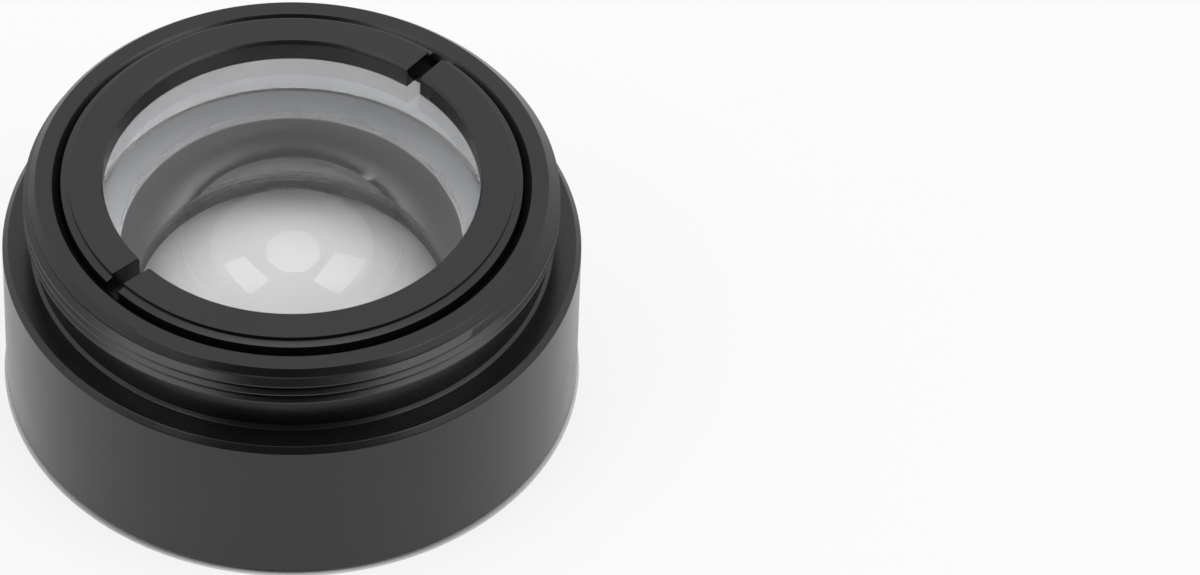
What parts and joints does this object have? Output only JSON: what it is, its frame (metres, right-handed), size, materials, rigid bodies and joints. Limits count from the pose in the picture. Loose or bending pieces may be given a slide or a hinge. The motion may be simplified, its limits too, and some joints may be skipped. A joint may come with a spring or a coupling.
{
  "type": "microscope objective",
  "caption": "Auxiliary objective lens for a stereo microscope: black housing with a male mounting thread above, a threaded cup below, and a doublet held by a slotted ring.",
  "frame": {"origin": "on the optical axis, in the plane of the cup's rim that the part stands on", "axes": "+Z along the optical axis, from the cup to the male mounting thread; +X and +Y square to it"},
  "size_m": [0.052, 0.052, 0.0243],
  "materials": {
    "housing_anodise": "satin black anodised, bright wear on the edges",
    "ring_anodise": "satin black anodised",
    "upper_glass": "polished and coated, with a ground edge",
    "lower_glass": "polished and coated, with a ground edge and land"
  },
  "bodies": {
    "root": {"housing": "housing_anodise", "retaining_ring": "ring_anodise", "upper_lens": "upper_glass", "lower_lens": "lower_glass"}
  },
  "joints": []
}
